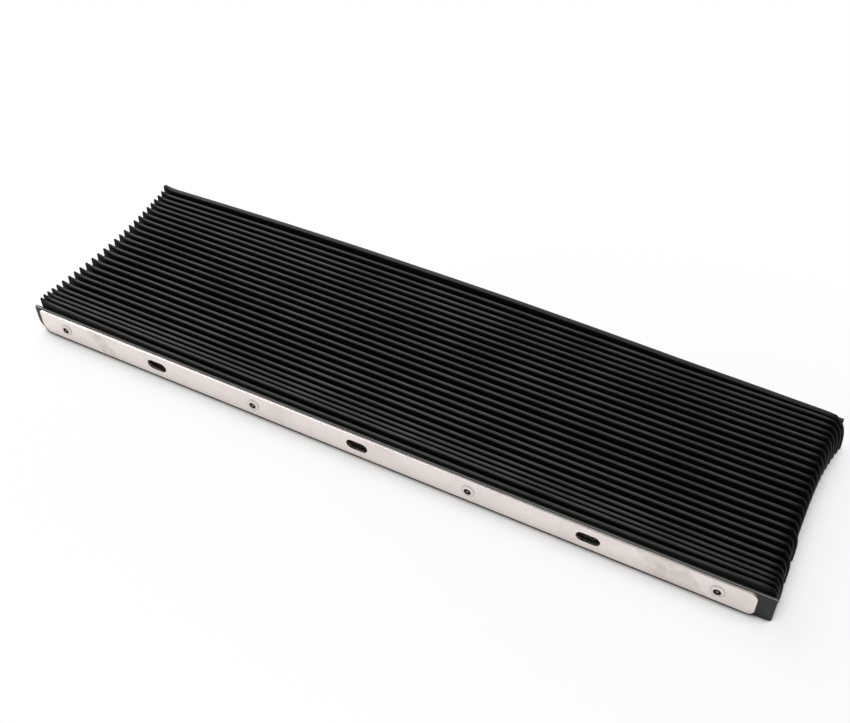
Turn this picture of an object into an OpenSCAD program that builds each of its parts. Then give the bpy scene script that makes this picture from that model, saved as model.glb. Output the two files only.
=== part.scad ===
// Bellows way cover: a pleated cloth cover of U section with a stiffener in each fold
// and a board and a slotted steel strip at each end. Millimetres, +Z up.
// The cover stands on z = 0, its folds run along X and it opens along Y, with the front at -Y.

/* [Cover] */
// Overall width across the folds
cover_w = 446; // [340:1:640]
// Height of the fold crests above the surface under the cover
crest_h = 23; // [20:0.5:32]
// Extra height of the rearmost crest
rear_lift = 1.5; // [0:0.25:2]
// Number of fold crests
crest_n = 27; // [8:1:40]
// Mean distance from crest to crest, with the cover mostly closed
fold_pitch = 4.6; // [4.4:0.1:7]
// Share by which the folds bunch up towards the two ends
bunching = 0.08; // [0:0.01:0.16]
// Share by which single folds lie wider or closer than that
unevenness = 0.08; // [0:0.01:0.12]
// Which set of uneven folds is drawn
fold_seed = 486; // [1:1:999]
// Share by which the foremost fold is squeezed
front_squeeze = 0.35; // [0:0.01:0.4]
// How far the foremost crest leans towards the front board
front_lean = 2; // [0:0.1:2.1]
// Number of folds over which squeeze and lean fade out
front_run = 6; // [4:1:7]
// How far the foremost crest lies below the others
front_drop = 1.8; // [0:0.1:2.2]
// How far the middle folds draw in at the left
left_waist = 4.5; // [0:0.5:8]
// How far the middle folds draw in at the right
right_waist = 1; // [0:0.5:8]
// How far the left wall leans in from its hem to the crests
left_lean = 4.5; // [0:0.5:6]
// How far the right wall leans in from its hem to the crests
right_lean = 3.5; // [0:0.5:6]

/* [Cloth] */
// Thickness of the coated cloth
cloth_t = 0.45; // [0.3:0.05:0.6]
// Depth of a fold from crest to valley
fold_depth = 14; // [10:0.5:16]
// Drop of the cloth from the middle of a crest to its edges
crest_crown = 0.3; // [0.1:0.05:0.4]
// Width of the groove at the bottom of a valley
valley_w = 0.4; // [0.2:0.05:0.6]
// Gap between the lower hem and the surface below
hem_gap = 0.3; // [0.2:0.1:1]
// How far the cloth's end laps down the back of an end board
flap_lap = 3.7; // [2:0.1:4]

/* [Stiffeners] */
// Thickness of a stiffener frame
stiffener_t = 0.5; // [0.3:0.05:0.8]
// Width of a stiffener's top bar and legs
stiffener_bar = 13; // [8:0.5:14]
// Chamfer in a stiffener's inner corners
stiffener_chamfer = 3; // [1:0.5:5]
// Gap between a stiffener and the cloth around it
stiffener_gap = 0.12; // [0.1:0.01:0.2]

/* [End boards] */
// Thickness of an end board
board_t = 1.5; // [1:0.1:3]
// How far the crests rise above an end board
crest_over_board = 5.6; // [4.5:0.1:7]
// Distance from a board's back to the nearest crest
end_gap = 2.6; // [2.5:0.1:4]
// Radius of a board's lower left corner
board_left_r = 8; // [1:0.5:9]
// Radius of a board's lower right corner
board_right_r = 1.5; // [0.5:0.5:8]

/* [Strips] */
// Thickness of a steel strip
strip_t = 1.5; // [1:0.1:3]
// Bare board at each end of a strip
strip_end_margin = 6.5; // [5:0.5:12]
// How far a strip sits off the board's middle
strip_shift = -2; // [-4:0.5:4]
// Bare board above a strip
strip_top_margin = 0.8; // [0.2:0.1:4]
// Bare board below a strip
strip_low_margin = 1.4; // [0.5:0.1:3]
// Radius of a strip's upper left corner
strip_high_left_r = 1; // [0.5:0.5:5]
// Radius of a strip's lower left corner
strip_low_left_r = 6.5; // [0.5:0.5:7]
// Radius of a strip's two right corners
strip_right_r = 3.5; // [0.5:0.5:5]

/* [Holes] */
// Number of rivets in a strip, with a slot midway between each two
rivet_n = 4; // [3:1:8]
// Distance from a strip's end to its first rivet
rivet_end = 18.5; // [10:0.5:30]
// Length of a mounting slot
slot_l = 13; // [8:0.5:20]
// Width of a mounting slot
slot_w = 6.5; // [4:0.1:7]

/* [Rivets] */
// Diameter of a rivet's shank
rivet_d = 4; // [3:0.1:5]
// Diameter of a rivet's flange
flange_d = 7.5; // [6:0.1:9]
// Height of a rivet's domed flange
flange_h = 0.9; // [0.6:0.1:1.5]
// Height of the flange at its rim
flange_rim = 0.3; // [0.1:0.05:0.5]
// Diameter of the hole in a rivet's head
eye_d = 3.2; // [2.4:0.1:3.4]
// Depth of the hole in a rivet's head
eye_depth = 1.4; // [0.8:0.1:2]
// Diameter of the mandrel's stub in that hole
stub_d = 1.8; // [1:0.1:2.2]
// How far the stub lies below the top of the head
stub_drop = 0.35; // [0.1:0.05:0.7]
// Diameter of a rivet's upset tail
tail_d = 5.4; // [4.8:0.1:7]
// Height of a rivet's upset tail
tail_h = 1.6; // [1:0.1:1.8]
// Chamfer of the tail
tail_chamfer = 0.6; // [0.2:0.1:0.9]
// Gap between a rivet's shank and its hole
rivet_gap = 0.05; // [0.02:0.01:0.2]
// Gap between flat pieces that are clamped or glued together
seat_gap = 0.02; // [0.01:0.01:0.05]

/* [Hidden] */
$fn = 64;
cloth_colour = [0.07, 0.07, 0.075];
stiffener_colour = [0.16, 0.16, 0.17];
board_colour = [0.1, 0.1, 0.105];
strip_colour = [0.84, 0.82, 0.8];
rivet_colour = [0.76, 0.75, 0.73];

// Along Y, counted from the middle of the cover to the front
folds_l = fold_pitch * (crest_n - 1);
first_crest_y = -folds_l / 2;
board_back_y = first_crest_y - end_gap;
board_front_y = board_back_y - board_t;
strip_back_y = board_front_y - seat_gap;
strip_front_y = strip_back_y - strip_t;
flap_y = board_back_y + seat_gap;

// Heights
board_h = crest_h - crest_over_board;
strip_h = board_h - strip_top_margin - strip_low_margin;
hole_z = strip_low_margin + strip_h / 2;

// The strip's row of holes: rivets and slots take turns
strip_l = cover_w - 2 * strip_end_margin;
hole_step = (strip_l - 2 * rivet_end) / (2 * (rivet_n - 1));
rivet_xs = [for (i = [0 : rivet_n - 1]) strip_shift + hole_step * (2 * i - rivet_n + 1)];
slot_xs = [for (i = [0 : rivet_n - 2]) strip_shift + hole_step * (2 * i - rivet_n + 2)];

// The cloth turns over a stiffener at each crest
crest_w = stiffener_t + 2 * (cloth_t + stiffener_gap);
stiffener_inset = cloth_t + crest_crown + stiffener_gap;
flap_inset = crest_over_board + flap_lap;

// Distance from crest i to the next one: shorter near the two ends, and uneven as cloth lies
fold_n = crest_n - 1;
fold_draws = rands(-1, 1, fold_n, fold_seed);
function total(v) = v * [for (e = v) 1];
mean_draw = total(fold_draws) / fold_n;
function fade(i) = max(0, 1 - i / front_run);
fold_shares = [for (i = [0 : fold_n - 1]) 1 - bunching * cos(360 * (i + 0.5) / fold_n)
    - front_squeeze * fade(i) + unevenness * (fold_draws[i] - mean_draw)];
function fold_step(i) = folds_l * fold_shares[i] / total(fold_shares);
crest_ys = [for (i = 0, y = first_crest_y; i < crest_n;
    y = y + (i < fold_n ? fold_step(i) : 0), i = i + 1) y];
function lift(i) = i == 0 ? -front_drop : i == crest_n - 1 ? rear_lift : 0;
function forward(i) = front_lean * fade(i);
function draw_in(waist, y) = waist * max(0, sin(180 * (y - first_crest_y) / folds_l));

// Stiffeners stand in every crest between the first and the last, which the end boards hold
stiffener_n = crest_n - 2;
function stiffener_name(i) = str("stiffener_", i < 10 ? "0" : "", i);

// One side of the cloth from the front flap to the rear flap, as [y, inset, lift, forward] points.
// The inset is how far a point lies inside the crests' outline, at the top and at both sides,
// and forward is how far the point leans to the front at the top.
// t is 0 on the outer side and the cloth's thickness on the inner side.
function cloth_chain(t) = concat(
    [[flap_y + t, flap_inset, 0, 0], [flap_y + t, crest_over_board + t, 0, 0]],
    [for (i = [0 : crest_n - 1]) each crest_points(i, t)],
    [[-flap_y - t, crest_over_board + t, 0, 0], [-flap_y - t, flap_inset, 0, 0]]
);
function crest_points(i, t) = concat(
    [[crest_ys[i] - crest_w / 2 + t, crest_crown + t, lift(i), forward(i)]],
    [[crest_ys[i], t, lift(i), forward(i)]],
    [[crest_ys[i] + crest_w / 2 - t, crest_crown + t, lift(i), forward(i)]],
    i == crest_n - 1 ? [] : valley_points(i, t)
);
function valley_points(i, t) = let (
    y = (crest_ys[i] + crest_ys[i + 1]) / 2,
    lean = (forward(i) + forward(i + 1)) / 2 * (crest_h - fold_depth) / crest_h
) [
    [y - valley_w / 2 - t, fold_depth + t, 0, lean],
    [y + valley_w / 2 + t, fold_depth + t, 0, lean]
];

// Left and right ends of the outline at y, leaned in by so much
function left_end(y, lean) = draw_in(left_waist, y) + lean - cover_w / 2;
function right_end(y, lean) = cover_w / 2 - draw_in(right_waist, y) - lean;

// The four stations of the U outline: left hem, left corner, right corner, right hem
function at_station(k, p) = [
    k < 2
        ? left_end(p[0], k == 0 ? 0 : left_lean) + p[1]
        : right_end(p[0], k == 3 ? 0 : right_lean) - p[1],
    k == 0 || k == 3 ? p[0] : p[0] - p[3],
    k == 0 || k == 3 ? hem_gap : crest_h + p[2] - p[1]
];
station_n = 4;

// The cloth: a closed zigzag section swept along the U, with mitred corners
module bellows_skin() {
    loop = concat(cloth_chain(0), [for (p = [1 : len(cloth_chain(cloth_t))])
        cloth_chain(cloth_t)[len(cloth_chain(cloth_t)) - p]]);
    n = len(loop);
    points = [for (k = [0 : station_n - 1]) for (p = loop) at_station(k, p)];
    walls = [for (k = [0 : station_n - 2]) for (j = [0 : n - 1])
        [k * n + j, k * n + (j + 1) % n, (k + 1) * n + (j + 1) % n, (k + 1) * n + j]];
    left_hem = [for (j = [0 : n / 2 - 2]) [j, n - 1 - j, n - 2 - j, j + 1]];
    last = (station_n - 1) * n;
    right_hem = [for (q = left_hem) [last + q[3], last + q[2], last + q[1], last + q[0]]];
    color(cloth_colour)
        polyhedron(points, concat(walls, left_hem, right_hem));
}

// A flat U frame that stands in one crest and leans with it
module stiffener(i) {
    tilt = atan(forward(i) / crest_h);
    top_z = crest_h - stiffener_inset;
    bar_z = top_z - stiffener_bar;
    low_z = bar_z - stiffener_chamfer;
    function left_x(z) = left_end(crest_ys[i], left_lean * z / top_z) + stiffener_inset;
    function right_x(z) = right_end(crest_ys[i], right_lean * z / top_z) - stiffener_inset;
    outline = [
        [right_x(0), 0],
        [right_x(top_z), top_z],
        [left_x(top_z), top_z],
        [left_x(0), 0],
        [left_x(0) + stiffener_bar, 0],
        [left_x(low_z) + stiffener_bar, low_z],
        [left_x(bar_z) + stiffener_bar + stiffener_chamfer, bar_z],
        [right_x(bar_z) - stiffener_bar - stiffener_chamfer, bar_z],
        [right_x(low_z) - stiffener_bar, low_z],
        [right_x(0) - stiffener_bar, 0]
    ];
    color(stiffener_colour)
        translate([0, crest_ys[i], sin(tilt) * stiffener_t / 2])
        rotate([90 + tilt, 0, 0])
        linear_extrude(stiffener_t, center = true)
        polygon(outline);
}

// What is left of a square corner outside its radius, for the corner at the origin
module corner_cut(r) {
    difference() {
        translate([-r, -r])
            square(2 * r);
        translate([r, r])
            circle(r);
        translate([r, -r])
            square([r, 3 * r]);
        translate([-r, r])
            square([3 * r, r]);
    }
}

// Slots and rivet holes of a strip and of the board behind it
module holes() {
    for (x = slot_xs)
        translate([x, hole_z]) {
            square([slot_l - slot_w, slot_w], center = true);
            for (side = [-1, 1])
                translate([side * (slot_l - slot_w) / 2, 0])
                circle(d = slot_w);
        }
    for (x = rivet_xs)
        translate([x, hole_z])
            circle(d = rivet_d + 2 * rivet_gap);
}

// A plate whose outline is drawn in X and Z, with its back at back_y
module upright_plate(back_y, thickness) {
    translate([0, back_y, 0])
        rotate([90, 0, 0])
        linear_extrude(thickness)
        children();
}

module end_board() {
    color(board_colour)
        upright_plate(board_back_y, board_t)
        difference() {
            translate([-cover_w / 2, 0])
                square([cover_w, board_h]);
            translate([-cover_w / 2, 0])
                corner_cut(board_left_r);
            translate([cover_w / 2, 0])
                mirror([1, 0])
                corner_cut(board_right_r);
            holes();
        }
}

module end_strip() {
    color(strip_colour)
        upright_plate(strip_back_y, strip_t)
        difference() {
            translate([strip_shift - strip_l / 2, strip_low_margin])
                square([strip_l, strip_h]);
            translate([strip_shift, hole_z])
                for (side = [0, 1], top = [0, 1])
                    mirror([side, 0])
                    mirror([0, top])
                    translate([-strip_l / 2, -strip_h / 2])
                    corner_cut(side == 1 ? strip_right_r : top == 1 ? strip_high_left_r : strip_low_left_r);
            holes();
        }
}

// A blind rivet along Z: its domed flange above z = 0, its shank and upset tail below
module rivet() {
    shank_l = strip_t + board_t + 3 * seat_gap;
    dome_rise = flange_h - flange_rim;
    dome_r = (pow(flange_d / 2, 2) + pow(dome_rise, 2)) / (2 * dome_rise);
    rotate_extrude() {
        difference() {
            intersection() {
                translate([0, flange_h - dome_r])
                    circle(dome_r, $fn = 256);
                square([flange_d / 2, flange_h]);
            }
            translate([0, flange_h - eye_depth])
                square([eye_d / 2, eye_depth]);
        }
        difference() {
            translate([0, -shank_l])
                square([rivet_d / 2, shank_l]);
            translate([0, flange_h - eye_depth])
                square([eye_d / 2, eye_depth]);
        }
        translate([0, -shank_l])
            square([stub_d / 2, shank_l + flange_h - stub_drop]);
        polygon([
            [0, -shank_l],
            [tail_d / 2, -shank_l],
            [tail_d / 2, tail_chamfer - shank_l - tail_h],
            [tail_d / 2 - tail_chamfer, -shank_l - tail_h],
            [0, -shank_l - tail_h]
        ]);
    }
}

module end_rivets() {
    color(rivet_colour)
        for (x = rivet_xs)
            translate([x, strip_front_y - seat_gap, hole_z])
            rotate([90, 0, 0])
            rivet();
}

// The rear end has the same pieces, turned round
module turned_round() {
    rotate([0, 0, 180])
        children();
}

bellows_skin();
end_board();  // front_end_board
turned_round() end_board();  // rear_end_board
end_strip();  // front_end_strip
turned_round() end_strip();  // rear_end_strip
end_rivets();  // front_rivets
turned_round() end_rivets();  // rear_rivets
for (i = [1 : stiffener_n])
    stiffener(i);
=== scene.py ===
"""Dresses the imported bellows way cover: cloth pleats, finishes of the rigid pieces, and the stage."""
import math

import bpy
from mathutils import Matrix, Vector


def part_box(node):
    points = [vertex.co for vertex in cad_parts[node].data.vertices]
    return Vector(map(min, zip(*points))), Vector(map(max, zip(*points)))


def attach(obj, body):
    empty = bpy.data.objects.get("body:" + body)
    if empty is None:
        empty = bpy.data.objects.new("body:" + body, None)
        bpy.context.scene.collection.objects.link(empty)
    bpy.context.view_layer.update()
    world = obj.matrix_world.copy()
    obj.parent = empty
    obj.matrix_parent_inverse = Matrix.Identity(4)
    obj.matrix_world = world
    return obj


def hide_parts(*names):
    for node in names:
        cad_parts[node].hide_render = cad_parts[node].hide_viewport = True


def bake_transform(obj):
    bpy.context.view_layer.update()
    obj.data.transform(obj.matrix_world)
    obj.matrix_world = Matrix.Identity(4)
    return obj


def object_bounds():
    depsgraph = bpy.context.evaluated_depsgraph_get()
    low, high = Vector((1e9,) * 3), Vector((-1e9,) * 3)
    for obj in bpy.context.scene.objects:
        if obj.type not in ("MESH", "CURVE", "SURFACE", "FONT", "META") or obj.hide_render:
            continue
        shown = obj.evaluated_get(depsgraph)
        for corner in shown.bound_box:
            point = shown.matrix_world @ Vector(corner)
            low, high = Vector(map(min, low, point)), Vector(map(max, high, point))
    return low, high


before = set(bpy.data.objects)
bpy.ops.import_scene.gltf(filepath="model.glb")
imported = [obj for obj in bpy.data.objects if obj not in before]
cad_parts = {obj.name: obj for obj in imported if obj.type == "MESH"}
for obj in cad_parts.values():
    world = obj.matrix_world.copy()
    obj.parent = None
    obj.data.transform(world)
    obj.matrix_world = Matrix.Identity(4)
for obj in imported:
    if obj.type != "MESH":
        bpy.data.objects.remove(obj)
CAD_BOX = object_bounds()

bl_info = {
    "name": "Bellows way cover",
    "version": (1, 0, 0),
    "blender": (4, 5, 0),
    "location": "View3D > Sidebar > Bellows",
    "description": "Pleated cloth, metal strips, end boards and stage for a packed bellows way cover",
    "category": "Object",
}

STIFFENERS = sorted(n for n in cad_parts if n.startswith("stiffener_"))
# The pleat half way along, between the frames that slide from the front and those that slide from the rear
MIDDLE = len(STIFFENERS) // 2
PER_MM = 1000.0
RIVETS_PER_STRIP = 4
# Rows with a loose hem, counted from the front at the right and from the rear at the left
LOOSE_HEMS = (3, 6, 9)
# Where the two tape marks start and end along the front strip, in millimetres
TAPE_MARKS = ((-173.0, -160.0), (165.0, 193.0))
# Share of the cover's length at which the rows begin to take the form of the rear one
REAR_START = 0.7
# Share of the rear crest's length at which its bow ends and its droop begins
BOW_END = 0.8
# Depth below a crest at which its ears and waves have faded out, in metres
CREST_ZONE = 0.006
# From where to where the rubbed pale and painted highlight on a crest fade in from its end, in metres; the
# fade paints shade near the side walls
RUB_AND_SHEEN_FADE = (0.001, 0.006)
# How far a crest that sags moves forward, and an ear that lifts moves out, as a share of that
SAG_FORWARD = 0.6
EAR_OUTWARD = 0.6
# Keeps the waves of one row unlike those of the next
WAVE_ROW_STEP = 7.31
# The floor lies this far below the foot of the cover, so that no two faces share a plane
FLOOR_DROP = 0.0002


def pleat_name(k):
    """Name of the pleat between row k and the next."""
    return f"cloth_pleat_{k + 1:02d}"


def length(name, description, default):
    """A size in metres."""
    return bpy.props.FloatProperty(
        name=name, description=description, default=default, unit="LENGTH", precision=5
    )


def share(name, description, default):
    """A share from 0 to 1."""
    return bpy.props.FloatProperty(
        name=name, description=description, default=default, min=0.0, max=1.0, subtype="FACTOR"
    )


def colour(name, description, default):
    """A colour, as linear red, green and blue."""
    return bpy.props.FloatVectorProperty(
        name=name, description=description, default=default, min=0.0, max=1.0, subtype="COLOR"
    )


def number(name, description, default):
    """A plain number."""
    return bpy.props.FloatProperty(name=name, description=description, default=default)


def count(name, description, default):
    """A whole number of faces."""
    return bpy.props.IntProperty(name=name, description=description, default=default, min=2)


class BellowsClothSettings(bpy.types.PropertyGroup):
    """Shape and finish of the pleated cloth."""

    thickness: length("Thickness", "Thickness of the coated cloth", 0.00034)
    middle_thickness: length(
        "Middle thickness", "Thickness of the pleat that the whole travel stretches", 0.00008
    )
    clearance: length("Clearance", "From a stiffener's edge to the outside of its crest", 0.00087)
    end_gap: length("End gap", "From an end board to the foot of the nearest crest", 0.0026)
    front_lean: length("Front lean", "How far the ends of the first crest lean to the front", 0.0014)
    front_drop: length("Front drop", "How far the ends of the first crest lie below the next", 0.0008)
    front_sag: length("Front sag", "How far the first crest sags between its ends", 0.0014)
    crest_width: length("Crest width", "Width of the rounded top of a fold", 0.00164)
    crown: length("Crown", "Height of the rounded top of a fold", 0.0004)
    depth: length("Fold depth", "From a crest down to the valley beside it", 0.014)
    valley: number("Valley roundness", "1 is a sharp valley, more is rounder", 1.2)
    hem: length("Hem height", "Lower edge of the cloth above the ground", 0.0003)
    left_lean: length("Left lean", "How far the left wall leans in from its hem to the crests", 0.0045)
    right_lean: length("Right lean", "How far the right wall leans in from its hem to the crests", 0.0035)
    right_corner: number("Right corner", "1 leans the right wall all the way up, more only near its top", 5.0)
    loose_hem: length("Loose hem", "How far single folds stand out at the hem", 0.0006)
    hem_tuck: length("Hem tuck", "How far the right hem draws in half way along", 0.0008)
    rear_flare: length("Rear flare", "How far the last folds stand out at the right hem", 0.0032)
    rear_bow: length("Rear bow", "Bow of the rear crest, up in the middle", 0.022)
    rear_droop: length("Rear droop", "Droop of the rear crest at the right", 0.012)
    # Scales the rubbed pale and painted highlight on the rear crest
    rear_wear: share("Rear wear", "How far the rear crest is rubbed pale", 0.6)
    rear_fore: length("Rear crest front", "From the foot of the broad rear crest to its front edge", 0.0017)
    rear_aft: length("Rear crest back", "From the foot of the broad rear crest to its back edge", 0.0012)
    flap_lap: length("Flap lap", "Height of the flap on the back of the board", 0.0037)
    left_ear: length("Left ear", "Lift of the crest corners at the left", 0.0012)
    right_ear: length("Right ear", "Lift of the crest corners at the right", -0.0005)
    ear_reach: length("Ear reach", "Length of a lifted corner", 0.009)
    wave: length("Wave", "Height of the slight waves along a crest", 0.0004)
    wave_step: length("Wave length", "Length of the slight waves along a crest", 0.045)
    wall_steps: count("Wall steps", "Faces up one side wall", 14)
    top_steps: count("Top steps", "Faces across the top", 144)
    crest_steps: count("Crest steps", "Faces over a crest", 6)
    fold_steps: count("Fold steps", "Faces down and up a valley", 12)
    ground: colour("Cloth colour", "Coated cloth in the folds", (0.005, 0.005, 0.0054))
    # The pale crest colour is partly wear and partly a painted highlight
    worn: colour("Worn colour", "Coated cloth rubbed pale on the crests", (0.102, 0.102, 0.1))
    gloss: share("Gloss", "Strength of the coating's reflections", 0.06)
    roughness: share("Roughness", "Roughness of the coating", 0.44)
    thread: length("Thread pitch", "From one thread of the weave to the next", 0.0005)


class BellowsRigidSettings(bpy.types.PropertyGroup):
    """Finish of the strips, rivets, boards and stiffeners."""

    steel: colour("Strip colour", "Bright steel of the strips", (0.85, 0.775, 0.745))
    steel_roughness: share("Strip roughness", "Roughness of the strips", 0.36)
    smudge: share("Smudges", "How far smudges and tape marks dull the strip", 0.65)
    rivet: colour("Rivet colour", "Plated steel of the rivets", (0.8, 0.73, 0.7))
    # The dark eye is painted shade in and round the rivet's hole
    rivet_eye: length("Rivet eye", "Radius of the dark eye of a rivet", 0.0021)
    rivet_stub: length("Rivet stub", "Radius of the bright stub inside the eye", 0.0003)
    # The dull rim is painted shade round the edge of the flange
    rivet_rim: length("Rivet rim", "Width of the dull rim of a rivet's flange", 0.0008)
    rim_dull: share("Rim dullness", "How dark the rim of a rivet's flange is", 0.2)
    board: colour("Board colour", "Black end boards", (0.022, 0.024, 0.0235))
    # Colour of the painted highlight along the top front edge of the front board
    board_edge: colour("Board edge colour", "Top edge of the front end board, rubbed pale", (0.3, 0.3, 0.29))
    stiffener: colour("Stiffener colour", "Dark grey stiffener sheet", (0.05, 0.05, 0.053))


class BellowsStageSettings(bpy.types.PropertyGroup):
    """Floor, lamps and camera."""

    floor: colour("Floor colour", "Plain pale floor", (0.93, 0.93, 0.93))
    backdrop: share("Backdrop", "How far the floor fades to plain white as seen", 0.8)
    shade_reach: length("Shade reach", "How far round a spot the floor looks for cover", 0.03)
    covered: share("Covered", "Open share of the sky at which the floor is in full shade", 0.45)
    uncovered: share("Uncovered", "Open share of the sky at which the floor is out of the shade", 0.66)
    contact_reach: length(
        "Contact reach", "How far the darkest shade reaches from what touches the floor", 0.004
    )
    backdrop_reach: length("Backdrop reach", "From the cover to where the floor is plain white", 0.15)
    floor_size: length("Floor size", "Side of the square floor", 6.0)
    sky: number("Surround strength", "Even light from all round", 0.55)
    key: bpy.props.FloatProperty(
        name="Key power", description="Large soft lamp above, behind and to the left", default=14.0,
        unit="POWER"
    )
    key_place: bpy.props.FloatVectorProperty(
        name="Key place", description="Place of the large soft lamp", default=(-0.8, 0.5, 0.95),
        subtype="TRANSLATION"
    )
    key_size: length("Key size", "Side of the large soft lamp", 1.0)
    camera_place: bpy.props.FloatVectorProperty(
        name="Camera place", description="Place of the camera", default=(0.22222, -0.4013, 0.47228),
        subtype="TRANSLATION", precision=5
    )
    azimuth: number("Azimuth", "Degrees round from the front to the right", 28.453)
    elevation: number("Elevation", "Degrees above the floor", 44.875)
    roll: number("Roll", "Degrees that the picture is turned", -0.917)
    lens: number("Focal length", "Millimetres on a 36 mm wide sensor", 48.676)


class NodeMaker:
    """Adds nodes to a tree; an input takes a socket to link or a plain value."""

    def __init__(self, tree):
        self.tree = tree

    def put(self, socket, value):
        """Link a socket to an input, or set its plain value."""
        if isinstance(value, bpy.types.NodeSocket):
            self.tree.links.new(value, socket)
        else:
            socket.default_value = value

    def add(self, kind, inputs=None, **settings):
        """A new node, with its inputs given by name or by place."""
        node = self.tree.nodes.new(kind)
        for key, value in settings.items():
            setattr(node, key, value)
        for key, value in (inputs or {}).items():
            if isinstance(key, str):
                key = next(i for i, s in enumerate(node.inputs) if s.name == key and s.enabled)
            self.put(node.inputs[key], value)
        return node

    def math(self, operation, a, b=0.0):
        """The result of an operation on one or two numbers."""
        return self.add("ShaderNodeMath", {0: a, 1: b}, operation=operation).outputs[0]

    def remap(self, value, a, b, c=0.0, d=1.0):
        """A value from the range a to b, moved to the range c to d and held inside it."""
        return self.add("ShaderNodeMapRange", {0: value, 1: a, 2: b, 3: c, 4: d}).outputs[0]

    def mix(self, factor, a, b):
        """A number between a and b."""
        return self.add("ShaderNodeMix", {0: factor, 2: a, 3: b}).outputs[0]

    def tint(self, factor, a, b):
        """A colour between a and b."""
        node = self.add("ShaderNodeMix", {0: factor, 6: a, 7: b}, data_type="RGBA")
        return node.outputs[2]

    def noise(self, vector, scale, detail=2.0, rough=0.5):
        """Smooth noise, mostly between 0.2 and 0.8."""
        node = self.add(
            "ShaderNodeTexNoise", {"Vector": vector, "Scale": scale, "Detail": detail, "Roughness": rough}
        )
        return node.outputs[0]


PLEAT_INPUTS = (
    ("Front Edge", 0.0), ("Rear Edge", 0.005), ("Crest Width", 0.0016), ("Crest Share", 0.3),
    ("Left", -0.2), ("Right", 0.2), ("Top", 0.02),
    ("Next Left", -0.2), ("Next Right", 0.2), ("Next Top", 0.02),
    ("Crown", 0.0003), ("Depth", 0.014), ("Valley", 1.2), ("Drop", 0.0), ("Turn", 1.0), ("Hem", 0.0003),
    ("Left Lean", 0.0), ("Right Lean", 0.0), ("Left Corner", 1.0), ("Right Corner", 1.0),
    ("Left Hem", 0.0), ("Right Hem", 0.0), ("Next Left Hem", 0.0), ("Next Right Hem", 0.0),
    ("Bow", 0.0), ("Next Bow", 0.0), ("Droop", 0.0), ("Next Droop", 0.0), ("Wear", 1.0), ("Next Wear", 1.0),
    ("Lean", 0.0), ("Next Lean", 0.0), ("Sag", 0.0), ("Next Sag", 0.0),
    ("Left Ear", 0.0), ("Right Ear", 0.0), ("Ear Reach", 0.01),
    ("Wave", 0.0), ("Wave Length", 0.04), ("Number", 0.0), ("Next Number", 1.0), ("Cloth Width", 0.03),
)


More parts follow.
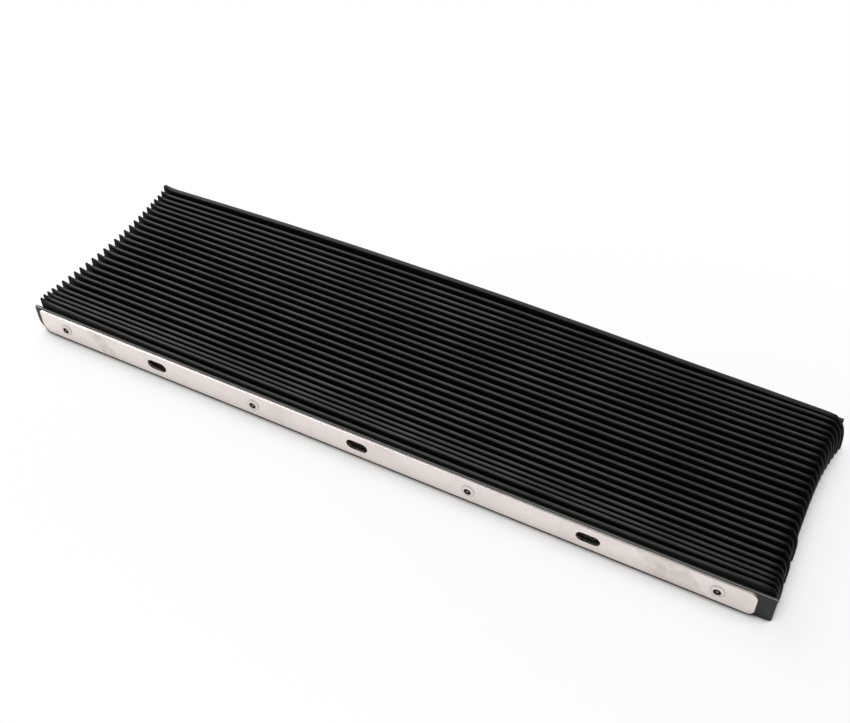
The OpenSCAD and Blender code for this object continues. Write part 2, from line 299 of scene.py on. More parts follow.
def pleat_tree(cloth):
    """Geometry Nodes: a strip of cloth over one crest and the valley after it, mitred at both corners."""
    tree = bpy.data.node_groups.new("pleat of coated cloth", "GeometryNodeTree")
    tree.is_modifier = True
    face = tree.interface
    keys = {}
    for name, value in PLEAT_INPUTS:
        socket = face.new_socket(name=name, in_out="INPUT", socket_type="NodeSocketFloat")
        socket.default_value = value
        keys[name] = socket.identifier
    for name in ("Steps Along", "Steps Across"):
        socket = face.new_socket(name=name, in_out="INPUT", socket_type="NodeSocketInt")
        socket.default_value = 2
        keys[name] = socket.identifier
    socket = face.new_socket(name="Material", in_out="INPUT", socket_type="NodeSocketMaterial")
    keys["Material"] = socket.identifier
    face.new_socket(name="Cloth", in_out="OUTPUT", socket_type="NodeSocketGeometry")

    make = NodeMaker(tree)
    given = make.add("NodeGroupInput").outputs
    calc, remap, mix = make.math, make.remap, make.mix
    grid = make.add("GeometryNodeMeshGrid", {
        "Size X": 1.0, "Size Y": 1.0, "Vertices X": given["Steps Along"], "Vertices Y": given["Steps Across"],
    })
    # Along the crest from the left hem to the right one, and across it from front to rear, each from 0 to 1
    place = make.add("ShaderNodeSeparateXYZ", {0: make.add("GeometryNodeInputPosition").outputs[0]})
    along = calc("ADD", place.outputs[0], 0.5)
    across = calc("ADD", place.outputs[1], 0.5)

    # Over the crest, then down into the valley and up again
    over = remap(across, 0.0, given["Crest Share"])
    down = remap(across, given["Crest Share"], 1.0)
    off_crest = calc("POWER", calc("ABSOLUTE", calc("SUBTRACT", calc("MULTIPLY", over, 2.0), 1.0)), 2.0)
    off_middle = calc("ABSOLUTE", calc("SUBTRACT", calc("MULTIPLY", down, 2.0), 1.0))
    in_valley = calc("SUBTRACT", 1.0, calc("POWER", off_middle, given["Valley"]))
    inset = calc("MULTIPLY", given["Crown"], off_crest)
    deeper = calc("MULTIPLY", calc("SUBTRACT", given["Depth"], given["Crown"]), in_valley)
    inset = calc("ADD", inset, calc("ADD", deeper, calc("MULTIPLY", given["Drop"], down)))
    near_crest = remap(inset, 0.0, CREST_ZONE, 1.0, 0.0)

    # Up the left wall, level across the top and down the right wall; the inset mitres both corners
    left = mix(down, given["Left"], given["Next Left"])
    right = mix(down, given["Right"], given["Next Right"])
    top = mix(down, given["Top"], given["Next Top"])
    wall = cloth.wall_steps / (2 * cloth.wall_steps + cloth.top_steps)
    level = remap(along, wall, 1.0 - wall)
    rise = calc("MINIMUM", remap(along, 0.0, wall), remap(along, 1.0, 1.0 - wall))
    leaned = []
    for side in ("Left", "Right"):
        turn_in = calc("POWER", rise, given[f"{side} Corner"])
        leaned.append(calc("MULTIPLY", turn_in, given[f"{side} Lean"]))
    left_x = calc("ADD", calc("ADD", left, inset), leaned[0])
    right_x = calc("SUBTRACT", calc("SUBTRACT", right, inset), leaned[1])
    x = mix(level, left_x, right_x)
    upper = calc("SUBTRACT", calc("SUBTRACT", top, inset), given["Hem"])
    z = calc("ADD", given["Hem"], calc("MULTIPLY", rise, upper))
    span = calc("SUBTRACT", given["Rear Edge"], calc("ADD", given["Front Edge"], given["Crest Width"]))
    y = calc("ADD", given["Front Edge"], calc("MULTIPLY", over, given["Crest Width"]))
    turned = remap(down, 0.0, given["Turn"])
    y = calc("ADD", y, calc("MULTIPLY", span, turned))
    ahead = calc("MULTIPLY", mix(turned, given["Lean"], given["Next Lean"]), calc("DIVIDE", z, top))
    y = calc("SUBTRACT", y, ahead)

    # The front crest sags, and the rear one bows up and droops at the right
    off_centre = calc("ABSOLUTE", calc("SUBTRACT", calc("MULTIPLY", level, 2.0), 1.0))
    inside = calc("SUBTRACT", 1.0, calc("POWER", off_centre, 4.0))
    sag = calc("MULTIPLY", mix(turned, given["Sag"], given["Next Sag"]), calc("MULTIPLY", inside, rise))
    z = calc("SUBTRACT", z, calc("ABSOLUTE", sag))
    y = calc("SUBTRACT", y, calc("MULTIPLY", sag, SAG_FORWARD))
    arch = calc("MULTIPLY", level, calc("SUBTRACT", BOW_END, level))
    raised = calc("MULTIPLY", mix(turned, given["Bow"], given["Next Bow"]), calc("MAXIMUM", arch, 0.0))
    lowered = calc("MULTIPLY", mix(turned, given["Droop"], given["Next Droop"]), calc("MINIMUM", arch, 0.0))
    z = calc("ADD", z, calc("MULTIPLY", calc("ADD", raised, lowered), rise))

    # Ears at the ends of the crest
    width = calc("SUBTRACT", right, left)
    fallen = calc("MULTIPLY", calc("SUBTRACT", 1.0, rise), top)
    ears = []
    for way, lift in ((level, "Left Ear"), (calc("SUBTRACT", 1.0, level), "Right Ear")):
        away = calc("ADD", calc("MULTIPLY", way, width), fallen)
        close = calc("POWER", remap(away, 0.0, given["Ear Reach"], 1.0, 0.0), 2.0)
        ears.append(calc("MULTIPLY", calc("MULTIPLY", close, near_crest), given[lift]))
    x = calc("ADD", x, calc("MULTIPLY", calc("SUBTRACT", ears[1], ears[0]), EAR_OUTWARD))
    z = calc("ADD", z, calc("ADD", ears[0], ears[1]))

    # Hems that stand out or draw in
    above_hem = calc("SUBTRACT", 1.0, calc("MULTIPLY", rise, rise))
    out_left = mix(down, given["Left Hem"], given["Next Left Hem"])
    out_left = calc("MULTIPLY", out_left, calc("SUBTRACT", 1.0, level))
    out_right = calc("MULTIPLY", mix(down, given["Right Hem"], given["Next Right Hem"]), level)
    x = calc("ADD", x, calc("MULTIPLY", calc("SUBTRACT", out_right, out_left), above_hem))

    # Slight waves along the crest
    waves = []
    for name in ("Number", "Next Number"):
        row = calc("MULTIPLY", given[name], WAVE_ROW_STEP)
        spot = make.add("ShaderNodeCombineXYZ", {0: calc("DIVIDE", x, given["Wave Length"]), 1: row, 2: 0.5})
        waves.append(calc("SUBTRACT", make.noise(spot.outputs[0], 1.0, 2.0), 0.5))
    swell = calc("MULTIPLY", mix(down, waves[0], waves[1]), calc("MULTIPLY", near_crest, given["Wave"]))
    z = calc("ADD", z, calc("MULTIPLY", swell, rise))

    # What the material reads: flat cloth coordinates, nearness to the crest, and the strength of the rubbed
    # pale and painted highlight
    from_end = calc("MULTIPLY", calc("MINIMUM", level, calc("SUBTRACT", 1.0, level)), width)
    wear = calc("MULTIPLY", remap(from_end, *RUB_AND_SHEEN_FADE), mix(down, given["Wear"], given["Next Wear"]))
    girth = calc("ADD", width, calc("MULTIPLY", top, 2.0))
    flat = make.add("ShaderNodeCombineXYZ", {
        0: calc("MULTIPLY", along, girth), 1: calc("MULTIPLY", across, given["Cloth Width"]),
    })
    geometry = grid.outputs[0]
    geometry = make.add("GeometryNodeStoreNamedAttribute", {
        "Geometry": geometry, "Name": "UVMap", "Value": flat.outputs[0],
    }, data_type="FLOAT2", domain="CORNER").outputs[0]
    geometry = make.add("GeometryNodeStoreNamedAttribute", {
        "Geometry": geometry, "Name": "crest", "Value": calc("MULTIPLY", near_crest, remap(rise, 0.75, 1.0)),
    }, data_type="FLOAT", domain="POINT").outputs[0]
    geometry = make.add("GeometryNodeStoreNamedAttribute", {
        "Geometry": geometry, "Name": "wear", "Value": wear,
    }, data_type="FLOAT", domain="POINT").outputs[0]
    spot = make.add("ShaderNodeCombineXYZ", {0: x, 1: y, 2: z})
    geometry = make.add("GeometryNodeSetPosition", {
        "Geometry": geometry, "Position": spot.outputs[0],
    }).outputs[0]
    geometry = make.add("GeometryNodeSetShadeSmooth", {"Geometry": geometry}).outputs[0]
    geometry = make.add("GeometryNodeRealizeInstances", {"Geometry": geometry}).outputs[0]
    geometry = make.add("GeometryNodeSetMaterial", {
        "Geometry": geometry, "Material": given["Material"],
    }).outputs[0]
    make.add("NodeGroupOutput", {0: geometry})
    return tree, keys


def new_material(name):
    """An empty node material with its shader; returns the material, its maker and the shader."""
    material = bpy.data.materials.new(name)
    material.use_nodes = True
    tree = material.node_tree
    tree.nodes.clear()
    make = NodeMaker(tree)
    shader = make.add("ShaderNodeBsdfPrincipled")
    make.add("ShaderNodeOutputMaterial", {"Surface": shader.outputs[0]})
    return material, make, shader


def rgba(value):
    """A colour with full opacity."""
    return (*value, 1.0)


def in_millimetres(make):
    """Object coordinates in millimetres."""
    place = make.add("ShaderNodeTexCoord").outputs["Object"]
    scaled = make.add("ShaderNodeVectorMath", {0: place, 1: (PER_MM,) * 3}, operation="MULTIPLY")
    return scaled.outputs[0]


def stretched(make, vector, factors):
    """Coordinates scaled by a factor for each axis."""
    return make.add("ShaderNodeVectorMath", {0: vector, 1: factors}, operation="MULTIPLY").outputs[0]


def cloth_material(cloth):
    """Black coated cloth: fine weave under the coating, rubbed pale along the crests, where a painted
    highlight is added to the wear.
    """
    material, make, shader = new_material("coated cloth")
    flat = make.add("ShaderNodeUVMap", uv_map="UVMap").outputs[0]
    place = in_millimetres(make)
    crest = make.add("ShaderNodeAttribute", attribute_name="crest").outputs["Fac"]
    wear = make.add("ShaderNodeAttribute", attribute_name="wear").outputs["Fac"]
    side = make.add("ShaderNodeSeparateXYZ", {0: place}).outputs[0]
    # Painted light falloff: the pale crests dim from full at x = 20 mm to three quarters at x = 200 mm,
    # darker towards the right
    wear = make.math("MULTIPLY", wear, make.remap(side, 20.0, 200.0, 1.0, 0.75))
    # Where the crests are rubbed pale and carry a painted highlight
    crest_rub_and_sheen = make.math("MULTIPLY", make.remap(crest, 0.8, 1.0), wear)
    patches = make.remap(make.noise(place, 0.035, 3.0, 0.6), 0.3, 0.7, 0.55, 1.0)
    specks = make.remap(make.noise(place, 1.6, 2.0), 0.3, 0.75, 0.7, 1.0)
    crest_rub_and_sheen = make.math("MULTIPLY", crest_rub_and_sheen, make.math("MULTIPLY", patches, specks))
    shader.inputs["Specular IOR Level"].default_value = cloth.gloss
    make.put(shader.inputs["Base Color"], make.tint(crest_rub_and_sheen, rgba(cloth.ground), rgba(cloth.worn)))
    rough = make.remap(make.noise(place, 0.4, 2.0), 0.2, 0.8, cloth.roughness - 0.06, cloth.roughness + 0.08)
    make.put(shader.inputs["Roughness"], rough)
    threads = []
    for way in ("X", "Y"):
        wave = make.add(
            "ShaderNodeTexWave", {"Vector": flat, "Scale": math.pi / 10 / cloth.thread}, bands_direction=way
        )
        threads.append(wave.outputs["Fac"])
    weave = make.math("MAXIMUM", threads[0], threads[1])
    skin = make.math("ADD", make.math("MULTIPLY", weave, 0.5), make.noise(place, 0.7, 3.0))
    bump = make.add("ShaderNodeBump", {"Strength": 0.12, "Distance": 0.0003, "Height": skin})
    make.put(shader.inputs["Normal"], bump.outputs[0])
    return material


def strip_material(rigid):
    """Bright cold-rolled strip with faint smudges and two tape marks on the front one."""
    material, make, shader = new_material("bright strip steel")
    place = in_millimetres(make)
    part = make.add("ShaderNodeSeparateXYZ", {0: place})
    x, y, z = part.outputs
    streaks = make.noise(stretched(make, place, (0.02, 1.0, 2.2)), 1.0, 4.0, 0.6)
    clouds = make.noise(place, 0.045, 4.0, 0.55)
    grain = make.noise(place, 3.0, 2.0)
    front = make.math("LESS_THAN", y, 0.0)
    frayed = make.math("MULTIPLY", make.math("SUBTRACT", make.noise(place, 0.5, 3.0), 0.5), 5.0)
    lean = make.math("ADD", make.math("ADD", x, make.math("MULTIPLY", z, 0.7)), frayed)
    marks = []
    for start, end in TAPE_MARKS:
        inside = make.math("MULTIPLY", make.remap(lean, start, start + 1.5), make.remap(lean, end, end - 1.5))
        marks.append(inside)
    mark = make.math("MULTIPLY", make.math("MAXIMUM", marks[0], marks[1]), front)
    mark = make.math("MULTIPLY", mark, make.remap(make.noise(place, 0.25, 4.0, 0.65), 0.35, 0.65, 0.25, 1.0))
    dull = make.math("MAXIMUM", make.remap(clouds, 0.5, 0.75, 0.0, 0.5), make.math("MULTIPLY", mark, 0.9))
    dull = make.math("MULTIPLY", dull, rigid.smudge)
    dim = tuple(v * f for v, f in zip(rigid.steel, (0.72, 0.7, 0.69)))
    bright = make.tint(make.remap(streaks, 0.35, 0.65), rgba(rigid.steel),
                       rgba(tuple(min(1.0, v * 1.05) for v in rigid.steel)))
    make.put(shader.inputs["Base Color"], make.tint(dull, bright, rgba(dim)))
    shader.inputs["Metallic"].default_value = 1.0
    rough = make.remap(streaks, 0.3, 0.7, rigid.steel_roughness - 0.05, rigid.steel_roughness + 0.05)
    make.put(shader.inputs["Roughness"], make.math("ADD", rough, make.math("MULTIPLY", dull, 0.35)))
    height = make.math("ADD", streaks, make.math("MULTIPLY", grain, 0.25))
    bump = make.add("ShaderNodeBump", {"Strength": 0.04, "Distance": 0.0002, "Height": height})
    make.put(shader.inputs["Normal"], bump.outputs[0])
    return material


def rivet_material(rigid, low, high, rivets):
    """Plated rivet with painted shade round the rim of its flange, and painted shade in its eye round the
    bright end of its broken stem.
    """
    material, make, shader = new_material("plated rivet steel")
    place = in_millimetres(make)
    part = make.add("ShaderNodeSeparateXYZ", {0: place})
    x, y, z = part.outputs
    head = (high.z - low.z) / 2
    step = (high.x - low.x - 2 * head) / (rivets - 1) * PER_MM
    first = (low.x + head) * PER_MM
    side = make.math("SIGN", y)
    across = make.math("SUBTRACT", make.math("MULTIPLY", make.math("MULTIPLY", x, side), -1.0), first)
    across = make.math("FLOORED_MODULO", make.math("ADD", across, step / 2), step)
    across = make.math("SUBTRACT", across, step / 2)
    up = make.math("SUBTRACT", z, (low.z + head) * PER_MM)
    squares = make.math("ADD", make.math("MULTIPLY", across, across), make.math("MULTIPLY", up, up))
    out = make.math("SQRT", squares)
    eye, stub = rigid.rivet_eye * PER_MM, rigid.rivet_stub * PER_MM
    # Painted shade: the eye is painted dark out to rivet_eye, leaving the stub its plated colour
    around_stub = make.remap(out, stub - 0.1, stub + 0.1)
    dark = make.math("MULTIPLY", make.remap(out, eye + 0.1, eye - 0.1), around_stub)
    # Painted shade round the edge of the domed flange
    rim = make.remap(out, (head - rigid.rivet_rim) * PER_MM, head * PER_MM - 0.2, 0.0, rigid.rim_dull)
    dark = make.math("MAXIMUM", dark, rim)
    specks = make.remap(make.noise(place, 2.5, 3.0), 0.3, 0.7, 0.85, 1.0)
    plated = make.tint(specks, rgba(tuple(v * 0.8 for v in rigid.rivet)), rgba(rigid.rivet))
    make.put(shader.inputs["Base Color"], make.tint(dark, plated, (0.03, 0.029, 0.028, 1.0)))
    make.put(shader.inputs["Metallic"], make.math("SUBTRACT", 1.0, make.math("MULTIPLY", dark, 0.6)))
    make.put(shader.inputs["Roughness"], make.remap(make.noise(place, 1.2, 2.0), 0.3, 0.7, 0.28, 0.42))
    return material


def board_material(rigid, corner):
    """Black satin board with a fine leather-like grain, paler rubbed patches and a painted highlight along
    its top edge in front.
    """
    material, make, shader = new_material("black end board")
    place = in_millimetres(make)
    cells = make.add("ShaderNodeTexVoronoi", {"Vector": place, "Scale": 1.4}, feature="SMOOTH_F1").outputs[0]
    fine = make.noise(place, 2.4, 3.0, 0.6)
    patches = make.remap(make.noise(place, 0.06, 3.0), 0.35, 0.7)
    pale = tuple(v * 1.5 for v in rigid.board)
    body = make.tint(patches, rgba(rigid.board), rgba(pale))
    part = make.add("ShaderNodeSeparateXYZ", {0: place}).outputs
    front, top = corner.y * PER_MM, corner.z * PER_MM
    # Painted highlight: a pale line along the top front edge of the front board
    edge = make.math("MULTIPLY", make.remap(part[2], top - 0.3, top - 0.1),
                     make.remap(part[1], front + 0.5, front + 0.8, 1.0, 0.0))
    make.put(shader.inputs["Base Color"], make.tint(edge, body, rgba(rigid.board_edge)))
    shader.inputs["Specular IOR Level"].default_value = 0.2
    make.put(shader.inputs["Roughness"], make.remap(fine, 0.2, 0.8, 0.38, 0.52))
    height = make.math("ADD", cells, make.math("MULTIPLY", fine, 0.6))
    bump = make.add("ShaderNodeBump", {"Strength": 0.15, "Distance": 0.0002, "Height": height})
    make.put(shader.inputs["Normal"], bump.outputs[0])
    return material


def stiffener_material(rigid):
    """Dark grey rigid sheet, matte, with faint flow marks."""
    material, make, shader = new_material("dark stiffener sheet")
    place = in_millimetres(make)
    flow = make.noise(stretched(make, place, (0.03, 1.0, 0.4)), 1.0, 3.0)
    fine = make.noise(place, 2.0, 2.0)
    pale = tuple(v * 1.4 for v in rigid.stiffener)
    body = make.tint(make.remap(flow, 0.3, 0.7), rgba(rigid.stiffener), rgba(pale))
    make.put(shader.inputs["Base Color"], body)
    make.put(shader.inputs["Roughness"], make.remap(fine, 0.2, 0.8, 0.5, 0.64))
    bump = make.add("ShaderNodeBump", {"Strength": 0.08, "Distance": 0.0002, "Height": fine})
    make.put(shader.inputs["Normal"], bump.outputs[0])
    return material


def seen_directly(make):
    """1 for rays that show a backdrop itself, 0 for rays that carry its light."""
    ray = make.add("ShaderNodeLightPath").outputs
    seen = make.math("MAXIMUM", ray["Is Camera Ray"], ray["Is Glossy Ray"])
    return make.math("MAXIMUM", seen, ray["Is Transmission Ray"])


def floor_material(stage):
    """Plain pale floor with the faintest unevenness and a painted contact shadow, seen mostly as a white
    backdrop away from the cover.
    """
    material, make, shader = new_material("pale floor")
    place = in_millimetres(make)
    part = make.add("ShaderNodeSeparateXYZ", {0: place}).outputs
    beyond = []
    for axis in (0, 1):
        low, high = (corner[axis] * PER_MM for corner in CAD_BOX)
        off = make.math("ABSOLUTE", make.math("SUBTRACT", part[axis], (low + high) / 2))
        beyond.append(make.math("SUBTRACT", off, (high - low) / 2))
    off = make.math("MAXIMUM", beyond[0], beyond[1])
    near, far = stage.shade_reach * PER_MM, stage.backdrop_reach * PER_MM
    sky = make.add("ShaderNodeAmbientOcclusion", {"Distance": stage.shade_reach}, samples=8).outputs["AO"]
    clear = make.math("ADD", make.remap(sky, stage.covered, stage.uncovered, 0.0, stage.backdrop),
                      make.remap(off, near, far, 0.0, 1.0 - stage.backdrop))
    seen = make.math("MULTIPLY", seen_directly(make), clear)
    white = make.add("ShaderNodeEmission", {"Color": (1.0, 1.0, 1.0, 1.0), "Strength": 1.0})
    blend = make.add("ShaderNodeMixShader", {0: seen, 1: shader.outputs[0], 2: white.outputs[0]})
    output = next(n for n in make.tree.nodes if n.type == "OUTPUT_MATERIAL")
    make.put(output.inputs["Surface"], blend.outputs[0])
    shade = tuple(v * 0.985 for v in stage.floor)
    tone = make.remap(make.noise(place, 0.01, 2.0), 0.3, 0.7)
    plain = make.tint(tone, rgba(stage.floor), rgba(shade))
    # Painted contact shadow: the floor colour darkens to a tenth where ambient occlusion within contact_reach
    # is low
    touch = make.add("ShaderNodeAmbientOcclusion", {"Distance": stage.contact_reach}, samples=8).outputs["AO"]
    painted_contact_shadow = tuple(v * 0.1 for v in stage.floor)
    make.put(shader.inputs["Base Color"], make.tint(make.remap(touch, 0.35, 0.75), rgba(painted_contact_shadow), plain))
    shader.inputs["Roughness"].default_value = 0.9
    shader.inputs["Specular IOR Level"].default_value = 0.1
    return material


def crest_rows(cloth):
    """Where each crest stands and how far it reaches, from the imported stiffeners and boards."""
    front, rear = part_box("front_end_board"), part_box("rear_end_board")
    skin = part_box("bellows_skin")
    rows = []
    half = cloth.crest_width / 2
    boxes = [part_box(node) for node in STIFFENERS]
    sheet = min(high.y - low.y for low, high in boxes)
    for node, (low, high) in zip(STIFFENERS, boxes):
        rows.append({
            "body": node, "y": high.y - sheet / 2, "lean": high.y - low.y - sheet, "sag": 0.0,
            "left": low.x - cloth.clearance, "right": high.x + cloth.clearance,
            "top": high.z + cloth.clearance, "fore": half, "aft": half,
        })
    first = {
        "body": "front", "y": front[1].y + cloth.end_gap, "lean": cloth.front_lean, "sag": cloth.front_sag,
        "left": front[0].x, "right": front[1].x,
        "top": rows[0]["top"] - cloth.front_drop, "fore": half, "aft": half,
    }
    last = {
        "body": "rear", "y": rear[0].y - cloth.end_gap, "lean": 0.0, "sag": 0.0,
        "left": rear[0].x, "right": rear[1].x,
        "top": skin[1].z, "fore": cloth.rear_fore, "aft": cloth.rear_aft,
    }
    rows = [first, *rows, last]
    for k, row in enumerate(rows):
        far = k / (len(rows) - 1)
        late = max(0.0, (far - REAR_START) / (1.0 - REAR_START))
        tuck = cloth.hem_tuck * math.sin(math.pi * far)
        loose = cloth.loose_hem if k in LOOSE_HEMS else -tuck
        row["hem_right"] = loose + cloth.rear_flare * late ** 2
        row["hem_left"] = cloth.loose_hem if len(rows) - 1 - k in LOOSE_HEMS else 0.0
        row["bow"] = cloth.rear_bow * late ** 3
        row["droop"] = 0.0
        # Full rubbed pale and painted highlight on each crest, set lower on the rear one below
        row["wear"] = 1.0
    last.update(droop=cloth.rear_droop, wear=cloth.rear_wear)
    return rows


def pleat_values(cloth, rows, this, after, crest=True, fold=True):
    """The tree's inputs for the crest of one row and the fold between it and the next."""
    here, there = rows[this], rows[after]
    steps = (cloth.crest_steps if crest else 0) + (cloth.fold_steps if fold else 0)
    crest_width = here["fore"] + here["aft"] if crest else 0.0
    start, end = here["y"] + here["aft"], there["y"] - there["fore"]
    run = math.hypot(cloth.depth, (end - start) / 2)
    return {
        "Front Edge": here["y"] - here["fore"] if crest else start, "Rear Edge": end if fold else start,
        "Crest Width": crest_width,
        "Crest Share": (cloth.crest_steps if crest else 0) / steps,
        "Left": here["left"], "Right": here["right"], "Top": here["top"],
        "Next Left": there["left"], "Next Right": there["right"], "Next Top": there["top"],
        "Crown": cloth.crown, "Depth": cloth.depth, "Valley": cloth.valley, "Drop": 0.0, "Turn": 1.0,
        "Left Lean": cloth.left_lean, "Right Lean": cloth.right_lean,
        "Left Hem": here["hem_left"], "Right Hem": here["hem_right"],
        "Next Left Hem": there["hem_left"], "Next Right Hem": there["hem_right"],
        "Bow": here["bow"], "Next Bow": there["bow"], "Droop": here["droop"], "Next Droop": there["droop"],
        "Wear": here["wear"], "Next Wear": there["wear"],
        "Lean": here["lean"], "Next Lean": there["lean"], "Sag": here["sag"], "Next Sag": there["sag"],
        "Hem": cloth.hem, "Left Ear": cloth.left_ear, "Right Ear": cloth.right_ear,
        "Ear Reach": cloth.ear_reach, "Wave": cloth.wave, "Wave Length": cloth.wave_step,
        "Number": float(this), "Next Number": float(after),
        "Left Corner": 1.0, "Right Corner": cloth.right_corner,
        "Cloth Width": crest_width + (2 * run if fold else 0.0),
        "Steps Along": 2 * cloth.wall_steps + cloth.top_steps + 1, "Steps Across": steps + 1,
    }


def flap_values(cloth, rows, this, board_face, board_top):
    """The tree's inputs for the cloth from an end crest down the back of its board."""
    values = pleat_values(cloth, rows, this, this)
    fall = rows[this]["top"] - board_top
    foot = rows[this]["y"] - rows[this]["lean"] + rows[this]["aft"]
    slope = math.hypot(board_face - foot, fall)
    values.update({
        "Rear Edge": board_face, "Depth": cloth.crown, "Drop": fall + cloth.flap_lap - cloth.crown,
        "Turn": fall / (fall + cloth.flap_lap),
        "Next Lean": 0.0, "Next Sag": 0.0, "Next Bow": 0.0, "Next Droop": 0.0,
        "Cloth Width": values["Crest Width"] + slope + cloth.flap_lap,
    })
    return values


def front_flap_values(cloth, first, gap):
    """The tree's inputs for the flap on the front board, without its crest and turned to face the rear."""
    turned = dict(
        first, y=-first["y"], left=-first["right"], right=-first["left"],
        lean=-first["lean"], sag=-first["sag"],
        hem_left=first["hem_right"], hem_right=first["hem_left"],
    )
    inner_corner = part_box("front_end_board")[1]
    values = flap_values(cloth, [turned], 0, -inner_corner.y - gap, inner_corner.z)
    values.update({
        "Left Lean": cloth.right_lean, "Right Lean": cloth.left_lean,
        "Left Corner": cloth.right_corner, "Right Corner": 1.0,
        "Left Ear": cloth.right_ear, "Right Ear": cloth.left_ear,
        "Front Edge": turned["y"] + turned["aft"], "Crest Width": 0.0, "Crest Share": 0.0,
        "Cloth Width": values["Cloth Width"] - cloth.crest_width, "Steps Across": cloth.fold_steps + 1,
    })
    return values


def cloth_pieces(cloth, rows):
    """Name, tree inputs and carrier of each piece of cloth; a carrier is a body or the two rows it spans."""
    last = len(rows) - 1
    pieces = []
    for k in range(last):
        name = pleat_name(k)
        if k == MIDDLE:
            crest = pleat_values(cloth, rows, k, k + 1, fold=False)
            pieces.append((f"{name}_crest", crest, rows[k]["body"]))
        pieces.append((name, pleat_values(cloth, rows, k, k + 1, crest=k != MIDDLE), (k, k + 1)))
    gap = cloth.thickness / 8
    low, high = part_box("rear_end_board")
    pieces.append(("cloth_rear_end", flap_values(cloth, rows, last, low.y - gap, high.z), "rear"))
    pieces.append(("cloth_front_end", front_flap_values(cloth, rows[0], gap), "front"))
    return pieces


class BELLOWS_OT_cloth(bpy.types.Operator):
    """Make the pleats of coated cloth over the stiffeners"""

    bl_idname = "bellows.cloth"
    bl_label = "Pleated cloth"

    def execute(self, context):
        cloth = context.scene.bellows_cloth
        material = cloth_material(cloth)
        tree, keys = pleat_tree(cloth)
        rows = crest_rows(cloth)
        made = []
        for name, values, rider in cloth_pieces(cloth, rows):
            piece = bpy.data.objects.new(name, bpy.data.meshes.new(name))
            context.scene.collection.objects.link(piece)
            nodes = piece.modifiers.new("pleat", "NODES")
            nodes.node_group = tree
            for key, value in values.items():
                nodes[keys[key]] = value
            nodes[keys["Material"]] = material
            shell = piece.modifiers.new("thickness", "SOLIDIFY")
            shell.thickness = cloth.thickness
            if name == pleat_name(MIDDLE):
                shell.thickness = cloth.middle_thickness
            shell.offset = -1.0
            made.append((piece, values, rider))
        graph = context.evaluated_depsgraph_get()
        meshes = [bpy.data.meshes.new_from_object(piece.evaluated_get(graph)) for piece, _, _ in made]
        for (piece, values, rider), mesh in zip(made, meshes):
            if len(mesh.polygons) == 0:
                raise RuntimeError(f"{piece.name}: the tree gave no cloth")
            piece.modifiers.clear()
            if piece.name == "cloth_front_end":
                mesh.transform(Matrix.Rotation(math.pi, 4, "Z"))
            mesh.set_sharp_from_angle(angle=math.radians(50))
            piece.data = mesh
            mesh.name = piece.name
            self.hang(rows, piece, values, rider)
        return {"FINISHED"}

    def hang(self, rows, piece, values, rider):
        if isinstance(rider, str):
            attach(piece, rider)
        else:
            if piece.name == pleat_name(MIDDLE):
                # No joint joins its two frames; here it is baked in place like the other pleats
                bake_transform(piece)
            else:
                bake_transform(piece)
        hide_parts("bellows_skin")


def finish_nodes(names, material):
    """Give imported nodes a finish."""
    for name in names:
        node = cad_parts[name]
        if not node.material_slots:
            raise RuntimeError(f"{name}: no material slot")
        for slot in node.material_slots:
            slot.material = material


class BELLOWS_OT_strips(bpy.types.Operator):
    """Finish both slotted strips in bright steel"""

    bl_idname = "bellows.strips"
    bl_label = "End strips"

    def execute(self, context):
        finish_nodes(("front_end_strip", "rear_end_strip"), strip_material(context.scene.bellows_rigid))
        return {"FINISHED"}


class BELLOWS_OT_rivets(bpy.types.Operator):
    """Finish the blind rivets in plated steel, with painted shade in their eyes and round their flanges"""

    bl_idname = "bellows.rivets"
    bl_label = "Rivets"

    def execute(self, context):
        low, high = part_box("front_rivets")
        material = rivet_material(context.scene.bellows_rigid, low, high, RIVETS_PER_STRIP)
        finish_nodes(("front_rivets", "rear_rivets"), material)
        return {"FINISHED"}


class BELLOWS_OT_boards(bpy.types.Operator):
    """Finish the end boards and the stiffener frames"""

    bl_idname = "bellows.boards"
    bl_label = "Boards and stiffeners"

    def execute(self, context):
        rigid = context.scene.bellows_rigid
        low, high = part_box("front_end_board")
        board = board_material(rigid, Vector((high.x, low.y, high.z)))
        finish_nodes(("front_end_board", "rear_end_board"), board)
        finish_nodes(STIFFENERS, stiffener_material(rigid))
        return {"FINISHED"}


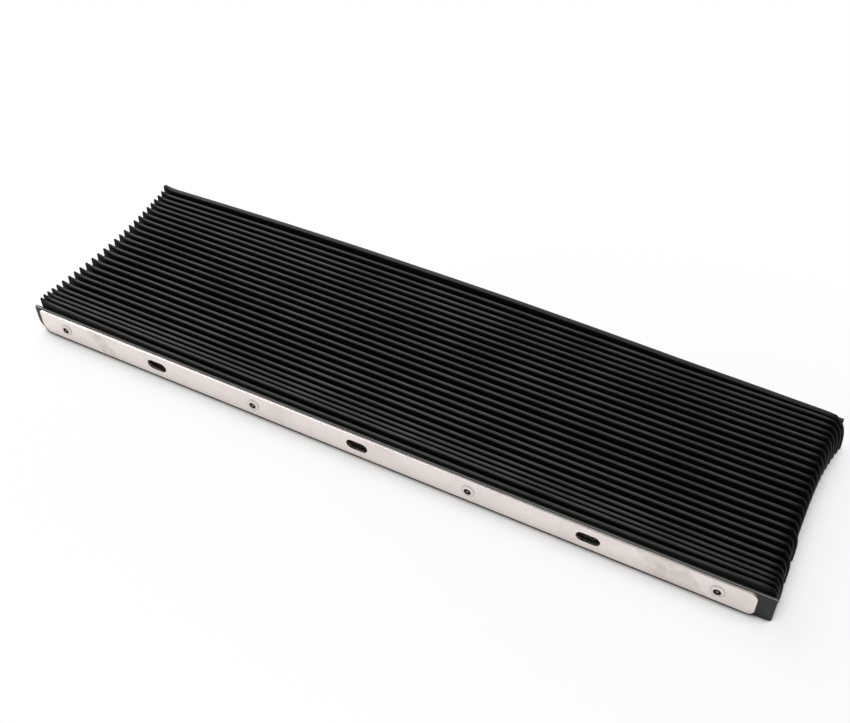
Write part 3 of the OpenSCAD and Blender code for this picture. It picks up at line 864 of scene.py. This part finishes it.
class BELLOWS_OT_stage(bpy.types.Operator):
    """Set up the floor, the soft light and the camera"""

    bl_idname = "bellows.stage"
    bl_label = "Stage"

    def execute(self, context):
        scene = context.scene
        stage = scene.bellows_stage
        reach = stage.floor_size / 2
        mesh = bpy.data.meshes.new("floor")
        signs = ((-1, -1), (1, -1), (1, 1), (-1, 1))
        corners = [(reach * x, reach * y, -FLOOR_DROP) for x, y in signs]
        mesh.from_pydata(corners, [], [(0, 1, 2, 3)])
        mesh.materials.append(floor_material(stage))
        floor = bpy.data.objects.new("floor", mesh)
        scene.collection.objects.link(floor)

        world = bpy.data.worlds.new("studio surround")
        world.use_nodes = True
        back = world.node_tree.nodes["Background"]
        back.inputs["Color"].default_value = (1.0, 1.0, 1.0, 1.0)
        make = NodeMaker(world.node_tree)
        make.put(back.inputs["Strength"], make.remap(seen_directly(make), 0.0, 1.0, stage.sky, 1.0))
        scene.world = world

        lamp = bpy.data.lights.new("key", "AREA")
        lamp.energy = stage.key
        lamp.size = stage.key_size
        key = bpy.data.objects.new("key", lamp)
        key.location = stage.key_place
        key.rotation_euler = (-Vector(stage.key_place)).to_track_quat("-Z", "Y").to_euler()
        scene.collection.objects.link(key)

        az, el, roll = (math.radians(v) for v in (stage.azimuth, stage.elevation, stage.roll))
        ahead = Vector((-math.sin(az) * math.cos(el), math.cos(az) * math.cos(el), -math.sin(el)))
        right = ahead.cross(Vector((0, 0, 1))).normalized()
        up = right.cross(ahead)
        wide = math.cos(roll) * right + math.sin(roll) * up
        high = -math.sin(roll) * right + math.cos(roll) * up
        lens = bpy.data.cameras.new("camera")
        lens.lens = stage.lens
        lens.sensor_width = 36.0
        lens.clip_start = 0.01
        camera = bpy.data.objects.new("camera", lens)
        turn = Matrix((wide, high, -ahead)).transposed().to_4x4()
        camera.matrix_world = Matrix.Translation(stage.camera_place) @ turn
        scene.collection.objects.link(camera)
        scene.camera = camera
        scene.view_settings.view_transform = "Standard"
        return {"FINISHED"}


class BELLOWS_PT_panel(bpy.types.Panel):
    """Sizes, finishes and makers of the bellows cover"""

    bl_idname = "BELLOWS_PT_panel"
    bl_label = "Bellows way cover"
    bl_space_type = "VIEW_3D"
    bl_region_type = "UI"
    bl_category = "Bellows"

    def draw(self, context):
        for group in GROUPS:
            settings = getattr(context.scene, group)
            part = self.layout.box()
            for key in settings.__annotations__:
                part.prop(settings, key)
        for operator in OPERATORS:
            self.layout.operator(operator.bl_idname)


GROUPS = {
    "bellows_cloth": BellowsClothSettings,
    "bellows_rigid": BellowsRigidSettings,
    "bellows_stage": BellowsStageSettings,
}
OPERATORS = (BELLOWS_OT_stage, BELLOWS_OT_cloth, BELLOWS_OT_strips, BELLOWS_OT_rivets, BELLOWS_OT_boards)
CLASSES = (*GROUPS.values(), *OPERATORS, BELLOWS_PT_panel)


def register():
    for cls in CLASSES:
        bpy.utils.register_class(cls)
    for name, cls in GROUPS.items():
        setattr(bpy.types.Scene, name, bpy.props.PointerProperty(type=cls))


def unregister():
    for name in GROUPS:
        delattr(bpy.types.Scene, name)
    for cls in reversed(CLASSES):
        bpy.utils.unregister_class(cls)


def main():
    register()
    bpy.ops.bellows.stage()
    bpy.ops.bellows.cloth()
    bpy.ops.bellows.strips()
    bpy.ops.bellows.rivets()
    bpy.ops.bellows.boards()


if __name__ == "__main__":
    main()
